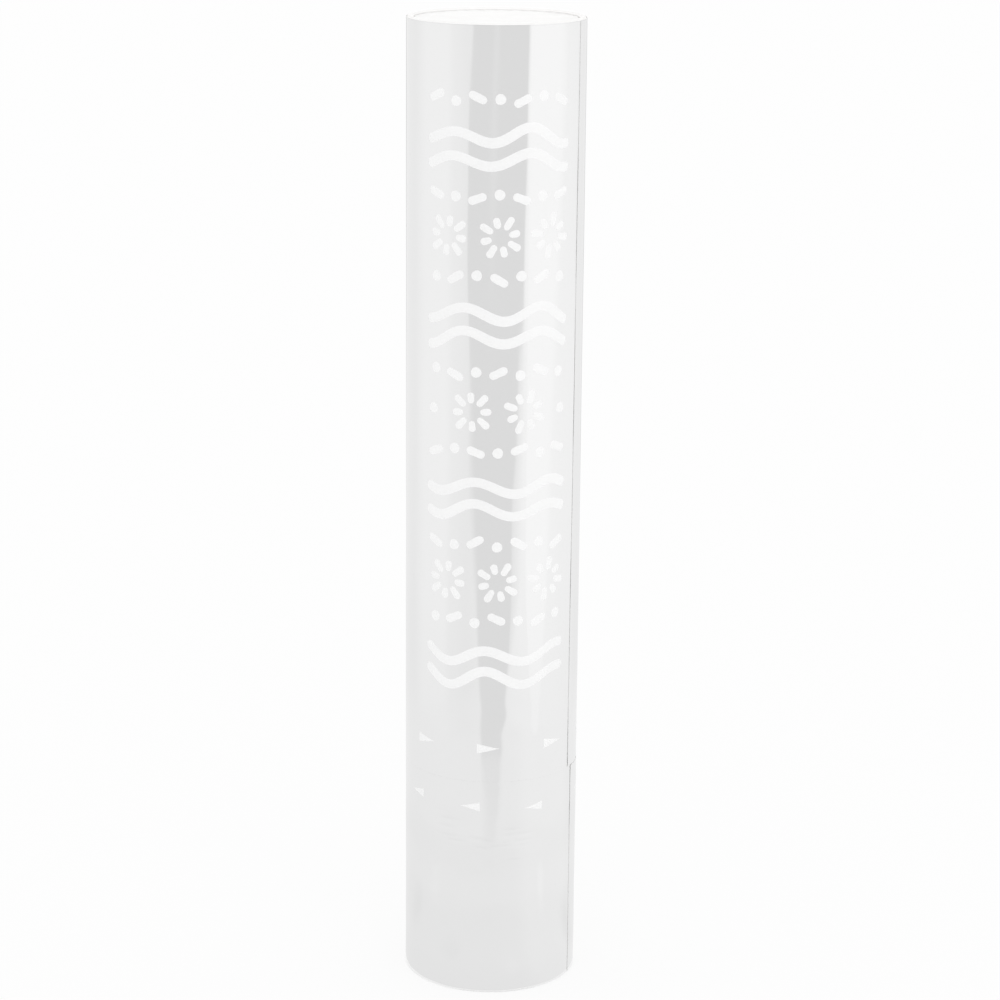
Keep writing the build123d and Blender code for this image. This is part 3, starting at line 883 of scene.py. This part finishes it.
class Lid(Shape):
    """Paper disc pushed into the muzzle, with its edge pleated and folded down into a skirt."""

    def __init__(self):
        super().__init__()
        low, self.high = heights("muzzle_seal")
        self.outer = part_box("muzzle_seal")[1].x / MM + LID_SPRING
        self.tall = self.high - LID_FOLD - low  # height of the skirt
        self.reach = [random.uniform(*PLEAT_REACHES) for _ in range(PLEATS)]
        self.crest = [random.uniform(*PLEAT_CRESTS) for _ in range(PLEATS)]

    def valley(self, column):
        """1 between two pleats, falling towards 0 on a crest."""
        pleat, step = divmod(column, PLEAT_COLUMNS)
        share = step / PLEAT_COLUMNS
        rise = share / PLEAT_RISE if share < PLEAT_RISE else (1 - share) / (1 - PLEAT_RISE)
        return 1 - rise * self.crest[pleat]

    def disc(self, radius, column, inset):
        """Radius, height and depth in a fold of a point on the disc."""
        near = smooth(1 - (self.outer - LID_FOLD - radius) / self.reach[column // PLEAT_COLUMNS])
        folded = near * self.valley(column)
        a = tau * column / LID_COLUMNS
        x, y = radius * sin(a) / RIPPLE_SIZE, radius * cos(a) / RIPPLE_SIZE
        ripple = LID_RIPPLE * noise.noise(Vector((x, y, RIPPLE_PLACE))) * (1 - near)
        sag = LID_SAG * (1 - (radius / self.outer) ** 2)
        return radius, self.high - inset - (sag + PLEAT_DEPTH * folded - ripple + LID_DIP), folded

    def edge(self, angle, column, inset):
        """The same at an angle on the folded edge."""
        a = radians(angle)
        folded = self.valley(column)
        bend = LID_FOLD - inset - PLEAT_DEPTH * folded
        radius = self.outer - LID_FOLD + bend * sin(a)
        return radius, self.high - LID_FOLD + (bend - LID_DIP) * cos(a), folded

    def skirt(self, drop, column, inset):
        """The same at a drop under the folded edge."""
        folded = self.valley(column)
        radius = self.outer - inset - PLEAT_DEPTH * folded - SKIRT_DRAW * drop / self.tall
        return radius, self.high - LID_FOLD - drop, folded

    def build(self):
        """The lid's piece: its outside and its inside, joined at the skirt's foot."""
        rings = [(self.disc, radius) for radius in LID_RADII]
        rings += [(self.edge, angle) for angle in FOLD_ANGLES]
        rings += [(self.skirt, self.tall * k / SKIRT_ROWS) for k in range(1, SKIRT_ROWS + 1)]
        # the depth in a fold, which also darkens the paper as painted shade
        folds = self.numbers["fold"] = []
        for inset in (0, LID_PAPER):
            for place, value in rings:
                for column in range(LID_COLUMNS):
                    radius, z, folded = place(value, column, inset)
                    self.points.append(point(360 * column / LID_COLUMNS, radius, z))
                    folds.append(folded)
        inside = len(rings) * LID_COLUMNS
        foot = inside - LID_COLUMNS
        for first, flip in ((0, True), (inside, False)):
            for ring in range(first, first + foot, LID_COLUMNS):
                self.band(ring, ring + LID_COLUMNS, LID_COLUMNS, flip)
        for first, flip in ((0, False), (inside, True)):
            self.points.append((0, 0, self.points[first][2]))
            folds.append(0.0)
            middle = len(self.points) - 1
            for k in range(LID_COLUMNS):
                self.face((middle, first + k, first + (k + 1) % LID_COLUMNS), flip=flip)
        self.band(foot, inside + foot, LID_COLUMNS, flip=True)
        self.piece("paper_lid", "charge", ["white_paper"], "muzzle_seal", sharp=LID_SHARP)


Lid().build()


# Confetti

TIERS = 4
TIER_TURN = 60  # from one tier to the next
TIER_SLOTS = ("foil_slips", "tissue_slips")  # by turns
FILL_R = 21.45  # the stacks' corners lie on this radius
STACK_GAP = 0.4
SLIP = 0.3  # thickness of a modelled slip
SLIP_PITCH = 0.46  # from one to the next
SLIP_WIDTH = 17.0
SLIP_COLUMNS, SLIP_ROWS = 5, 8

# How far single slips differ
SLIP_NARROWER = (0.05, 0.4)  # on each side
SLIP_SHIFT = 0.16
SLIP_FOOT = 0.6
SLIP_HEAD = 1.1
SLIP_BOW = 0.07
SLIP_LEAN = 0.05
SLIP_WAVE = 0.04
SLIP_WAVE_UP, SLIP_WAVE_ACROSS = 3, 2  # phase from the middle to an end


class Tier(Shape):
    """Stacks of slips on their short edges. across and deep are a stack's unit vectors on the plan."""

    def __init__(self, node, turn):
        super().__init__()
        self.low, self.high = heights(node)
        self.turn = radians(turn)
        self.numbers["tone"] = []

    def slip(self, middle, across, deep):
        """One slip, at a distance from the axis."""
        half = SLIP_WIDTH / 2 - random.uniform(*SLIP_NARROWER)
        shift = random.uniform(-SLIP_SHIFT, SLIP_SHIFT)
        foot = self.low + random.uniform(0.0, SLIP_FOOT)
        head = self.high - random.uniform(0.0, SLIP_HEAD)
        bow = random.uniform(-SLIP_BOW, SLIP_BOW)
        lean = random.uniform(-SLIP_LEAN, SLIP_LEAN)
        phase = random.uniform(0, tau)
        tone = random.random()
        wide, tall = SLIP_COLUMNS, SLIP_ROWS
        first, each = len(self.points), wide * tall
        c, s = cos(self.turn), sin(self.turn)
        for side in (0.5, -0.5):
            for j in range(tall):
                v = 2 * j / (tall - 1) - 1
                z = foot + (head - foot) * (v + 1) / 2
                for k in range(wide):
                    u = 2 * k / (wide - 1) - 1
                    wave = SLIP_WAVE * sin(SLIP_WAVE_UP * v + SLIP_WAVE_ACROSS * u + phase)
                    out = middle + (side * SLIP + bow * (1 - u * u) + lean * v + wave)
                    run = u * half + shift
                    x = across[0] * run + deep[0] * out
                    y = across[1] * run + deep[1] * out
                    self.points.append(((x * c - y * s) * MM, (x * s + y * c) * MM, z * MM))
        self.numbers["tone"] += [tone] * (2 * each)
        handed = across[0] * deep[1] - across[1] * deep[0] > 0
        self.grid(tall, wide, first, flip=handed)
        self.grid(tall, wide, first + each, flip=not handed)
        rim = [*range(wide)]
        rim += [j * wide + wide - 1 for j in range(1, tall)]
        rim += [(tall - 1) * wide + k for k in range(wide - 2, -1, -1)]
        rim += [j * wide for j in range(tall - 2, 0, -1)]
        for a, b in zip(rim, rim[1:] + rim[:1]):
            self.face((first + a, first + each + a, first + each + b, first + b), flip=handed)

    def stack(self, start, depth, across, deep):
        """Slips from a start onwards, over a depth."""
        count = round(depth / SLIP_PITCH)
        for k in range(count):
            self.slip(start + depth * (k + 0.5) / count, across, deep)


def confetti():
    """Each tier has a thick stack across the middle and a thinner one on each side of it."""
    half_chord = sqrt(FILL_R**2 - (SLIP_WIDTH / 2) ** 2)
    side = SLIP_WIDTH / 2 + STACK_GAP
    for index in range(TIERS):
        node = f"confetti_tier_{index + 1}"
        tier = Tier(node, TIER_TURN * index)
        tier.stack(-half_chord, 2 * half_chord, (1, 0), (0, 1))
        tier.stack(side, half_chord - side, (0, 1), (1, 0))
        tier.stack(side, half_chord - side, (0, 1), (-1, 0))
        tier.piece(f"slips_tier_{index + 1}", "charge", [TIER_SLOTS[index % 2]], node)


confetti()


# Camera and floor

CAMERA_PLACE = (0, -822.83, 355.74)
CAMERA_TURNS = (14.5701, 0.496, 0.1416)  # pitch, roll and yaw
CAMERA_LENS = 106.42
CAMERA_SENSOR = 36.0
CAMERA_CLIP = (0.01, 60.0)  # metres

FLOOR_REACH = 9000.0
FLOOR_LEVEL = -0.1
FLOOR_SIDES = 96
FLOOR_GREY = 0.88
FLOOR_ROUGH = 0.9
FLOOR_WHITE = 0.84  # share of plain white in the floor as seen; the rest takes shade


def camera():
    """Camera where the photograph was taken from."""
    pitch, roll, yaw = (radians(a) for a in CAMERA_TURNS)
    ahead = Vector((sin(yaw) * cos(pitch), cos(yaw) * cos(pitch), -sin(pitch)))
    right = ahead.cross(Vector((0, 0, 1))).normalized()
    up = right.cross(ahead)
    c, s = cos(roll), sin(roll)
    right, up = right * c + up * s, up * c - right * s
    data = bpy.data.cameras.new("camera")
    data.sensor_width = CAMERA_SENSOR
    data.lens = CAMERA_LENS
    data.clip_start, data.clip_end = CAMERA_CLIP
    made = bpy.data.objects.new("camera", data)
    bpy.context.scene.collection.objects.link(made)
    place = Matrix((right, up, -ahead)).transposed().to_4x4()
    place.translation = Vector(CAMERA_PLACE) * MM
    made.matrix_world = place
    bpy.context.scene.camera = made


def floor_paint():
    """Pale and matt, but mostly plain white as the camera, metal and glass show it."""
    colour = (*grey(FLOOR_GREY), 1)
    paint = Paint("floor", Base_Color=colour, Roughness=FLOOR_ROUGH, Specular_IOR_Level=0.0)
    rays = paint.node("LightPath").outputs
    seen = rays["Is Camera Ray"]
    for kind in ("Is Glossy Ray", "Is Transmission Ray"):
        seen = paint.node("Math", {0: seen, 1: rays[kind]}, operation="MAXIMUM").outputs[0]
    share = paint.node("Math", {0: seen, 1: FLOOR_WHITE}, operation="MULTIPLY").outputs[0]
    white = paint.node("Emission").outputs[0]
    mix = paint.node("MixShader", {0: share, 1: paint.shader.outputs[0], 2: white})
    paint.surface(mix.outputs[0])


def floor():
    """Large pale floor that keeps the popper's shadow."""
    floor_paint()
    shape = Shape()
    shape.points = [point(0, 0, FLOOR_LEVEL)]
    for k in range(FLOOR_SIDES):
        shape.points.append(point(360 * k / FLOOR_SIDES, FLOOR_REACH, FLOOR_LEVEL))
        shape.face((0, 1 + k, 1 + (k + 1) % FLOOR_SIDES))
    shape.stage("floor")


# Studio that the foil mirrors: cards over the floor round the tube, which stand up at their far end

WALL = 3000.0  # height to which they stand up

# Brightness all round, by angle from the front to the right: far off, and on the floor close by
ROUND = (
    (-180, 0.9), (-128, 0.9), (-96, 0.957), (-66, 0.96), (-52, 0.92), (-34, 0.9), (0, 0.94),
    (44, 0.985), (78, 0.99), (104, 0.975), (124, 0.965), (133, 0.915), (152, 0.895), (180, 0.865),
)
ROUND_NEAR = (
    (-180, 0.935), (-128, 0.935), (-60, 0.945), (0, 0.945), (25, 0.95), (50, 0.98), (104, 0.985),
    (126, 0.96), (180, 0.935),
)
NEAR_END = 220  # reach up to which the floor is close by
NEAR_FADE = 110
ROUND_STEP = 2
ROUND_REACHES = [(reach,) for reach in (
    25.8, 30, 36, 43, 50, 58, 66, 75, 84, 94, 104, 116,
    130, 160, 200, 240, 300, 360, 420, 550, 700, 1200, 3300,
)]

# Painted shade on the cards: their brightness falls towards the tube, by reach, for the popper's shade
# on the floor close by
FALL = (
    (26, 0.9), (50, 0.915), (75, 0.915), (103, 0.935), (130, 0.925), (160, 0.945), (230, 0.955),
    (300, 0.965), (420, 0.985), (700, 1.0),
)

# Soft shades on the floor close to the tube: angle, reach, half angle, half reach, change of brightness
SHADES = (
    (64, 99, 7, 30, 0.036),
    (106, 56, 19, 30, -0.062),
    (-100, 70, 16, 24, -0.032),
    (-40, 52, 18, 12, -0.022),
    (22, 44, 16, 9, 0.018),
    (-70, 96, 12, 22, 0.016),
)

# Gap between the studio's two boards: reach, left edge soft and hard, right edge hard and soft
GAP = (
    (125, -12.0, -1.0, 3.0, 12.0),
    (157, -12.5, -2.0, 5.0, 13.5),
    (185, -13.0, -4.0, 8.0, 15.0),
    (226, -13.5, -7.6, 11.2, 16.0),
    (240, -13.0, -9.0, 13.2, 15.6),
    (294, -16.0, -12.3, 18.2, 21.0),
    (343, -19.0, -15.5, 21.7, 26.0),
    (398, -22.0, -18.0, 22.5, 33.0),
    (489, -27.0, -19.4, 23.1, 39.6),
    (595, -31.5, -21.8, 23.6, 39.0),
    (675, -33.5, -24.4, 27.1, 39.3),
    (813, -33.5, -28.3, 30.3, 39.8),
    (949, -34.0, -31.8, 32.3, 40.4),
    (1030, -34.2, -32.8, 37.4, 40.4),
    (1386, -35.0, -33.6, 37.6, 40.0),
    (1816, -35.4, -34.2, 39.6, 42.0),
    (2300, -33.2, -32.2, 40.2, 42.4),
    (3200, -29.0, -28.0, 40.6, 43.2),
)
GAP_LEVELS = ((125, 0.87), (157, 0.855), (185, 0.84), (226, 0.83), (240, 0.785))  # brightness by reach
GAP_HALF_LIGHT = 0.15  # share of its soft right edge where it is half-way bright
STREAK = 0.035  # by which a streak in it is brighter
STREAK_START = 1100  # reach from which it comes up
STREAK_FADE = 500
STREAK_SHARES = (0.35, 0.43, 0.51)  # of the gap: its left side, middle and right side

# Bright board on the right: reach, angles of its left and right edge, brightness
BRIGHT = (
    (240, 56.0, 60.0, 0.965),
    (290, 50.0, 66.0, 0.975),
    (360, 47.0, 70.0, 1.0),
    (480, 45.0, 75.0, 1.02),
    (590, 44.0, 78.0, 1.022),
    (800, 44.0, 81.0, 1.022),
    (1100, 44.0, 87.0, 1.022),
    (1520, 44.0, 92.0, 1.022),
    (3200, 44.5, 98.0, 1.022),
)
BRIGHT_LEFT_SOFT = 1.0
BRIGHT_RIGHT_SOFT = 0.12  # share of its width, on each side

# Dark board behind the tube: reach, half width as an angle, brightness
BEHIND = (
    (230, 2.0, 0.88),
    (330, 6.0, 0.74),
    (600, 10.0, 0.68),
    (1200, 13.0, 0.66),
    (3200, 14.0, 0.66),
)
BEHIND_ANGLE = 180
BEHIND_SOFT = (2.5, 1.0)  # width of its two soft edges

# Soft light from high at the front
KEY_WAY = (-0.06, 0.8, -0.7)
KEY_STRENGTH = 0.3
KEY_SPREAD = 70


def between(table, x):
    """Value of a table of (x, value) rows, read smoothly between its rows."""
    for (x0, y0), (x1, y1) in zip(table, table[1:]):
        if x <= x1:
            return y0 + (y1 - y0) * smooth((x - x0) / (x1 - x0))
    return table[-1][1]


def brightness(angle, reach):
    """Brightness of the studio in a direction, at a distance from the tube's axis."""
    far = smooth((reach - NEAR_END) / NEAR_FADE)
    level = between(ROUND_NEAR, angle) * (1 - far) + between(ROUND, angle) * far
    # painted shade: darker close to the tube
    level *= between(FALL, reach)
    for middle, place, half_angle, half_reach, change in SHADES:
        off = hypot((angle - middle) / half_angle, (reach - place) / half_reach)
        level += change * smooth(1 - off)
    return level


def round_corners(reach):
    """The studio all round."""
    return [(angle, brightness(angle, reach)) for angle in range(-180, 181, ROUND_STEP)]


def gap_corners(reach, left_soft, left, right, right_soft):
    """The gap between the two boards, with a faint streak in it."""
    dark = between(GAP_LEVELS, reach)
    streak = STREAK * smooth((reach - STREAK_START) / STREAK_FADE)
    streak_left, streak_middle, streak_right = (left + s * (right - left) for s in STREAK_SHARES)
    half_light = right + GAP_HALF_LIGHT * (right_soft - right)
    return [
        (left_soft, brightness(left_soft, reach)),
        (left, dark),
        (streak_left, dark),
        (streak_middle, dark + streak),
        (streak_right, dark),
        (right, dark),
        (half_light, 0.5 * (dark + brightness(half_light, reach))),
        (right_soft, brightness(right_soft, reach)),
    ]


def bright_corners(reach, left, right, level):
    """The bright board."""
    soft = BRIGHT_RIGHT_SOFT * (right - left)
    return [
        (left - BRIGHT_LEFT_SOFT, brightness(left, reach)),
        (left, level),
        (right - soft, level),
        (right + soft, brightness(right + soft, reach)),
    ]


def behind_corners(reach, half, dark):
    """The dark board."""
    light = brightness(BEHIND_ANGLE, reach)
    first_soft, second_soft = BEHIND_SOFT
    return [
        (BEHIND_ANGLE - half - first_soft, light),
        (BEHIND_ANGLE - half, dark),
        (BEHIND_ANGLE + half, dark),
        (BEHIND_ANGLE + half + second_soft, light),
    ]


def card(name, table, find_corners, height):
    """Card that only metal shows, with (angle, brightness) corners for each row of its table."""
    paint = Paint(name)
    paint.surface(paint.node("Emission", {"Strength": paint.attribute("level")}).outputs[0])
    rows = [(row[0], height, find_corners(*row)) for row in table]
    reach, _, corners = rows[-1]
    rows.append((reach, WALL, corners))
    shape = Shape()
    shape.points = [point(angle, reach, z) for reach, z, corners in rows for angle, _ in corners]
    shape.numbers["level"] = [level for _, _, corners in rows for _, level in corners]
    shape.grid(len(rows), len(corners), 0)
    made = shape.stage(name)
    for rays in ("camera", "diffuse", "transmission", "volume_scatter", "shadow"):
        setattr(made, f"visible_{rays}", False)


def lights():
    """Plain white light from all round, and the soft light at the front."""
    world = bpy.data.worlds.new("studio")
    bpy.context.scene.world = world
    world.use_nodes = True
    world.node_tree.nodes["Background"].inputs["Color"].default_value = (1, 1, 1, 1)
    data = bpy.data.lights.new("key", "SUN")
    data.energy = KEY_STRENGTH
    data.angle = radians(KEY_SPREAD)
    key = bpy.data.objects.new("key", data)
    bpy.context.scene.collection.objects.link(key)
    key.rotation_mode = "QUATERNION"
    key.rotation_quaternion = Vector(KEY_WAY).to_track_quat("-Z", "Y")
    key.visible_glossy = False


camera()
floor()
lights()
card("round_card", ROUND_REACHES, round_corners, height=0.3)
card("gap_card", GAP, gap_corners, height=1.0)
card("bright_card", BRIGHT, bright_corners, height=0.6)
card("behind_card", BEHIND, behind_corners, height=1.0)
bpy.context.scene.view_settings.view_transform = "Standard"

low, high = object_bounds()
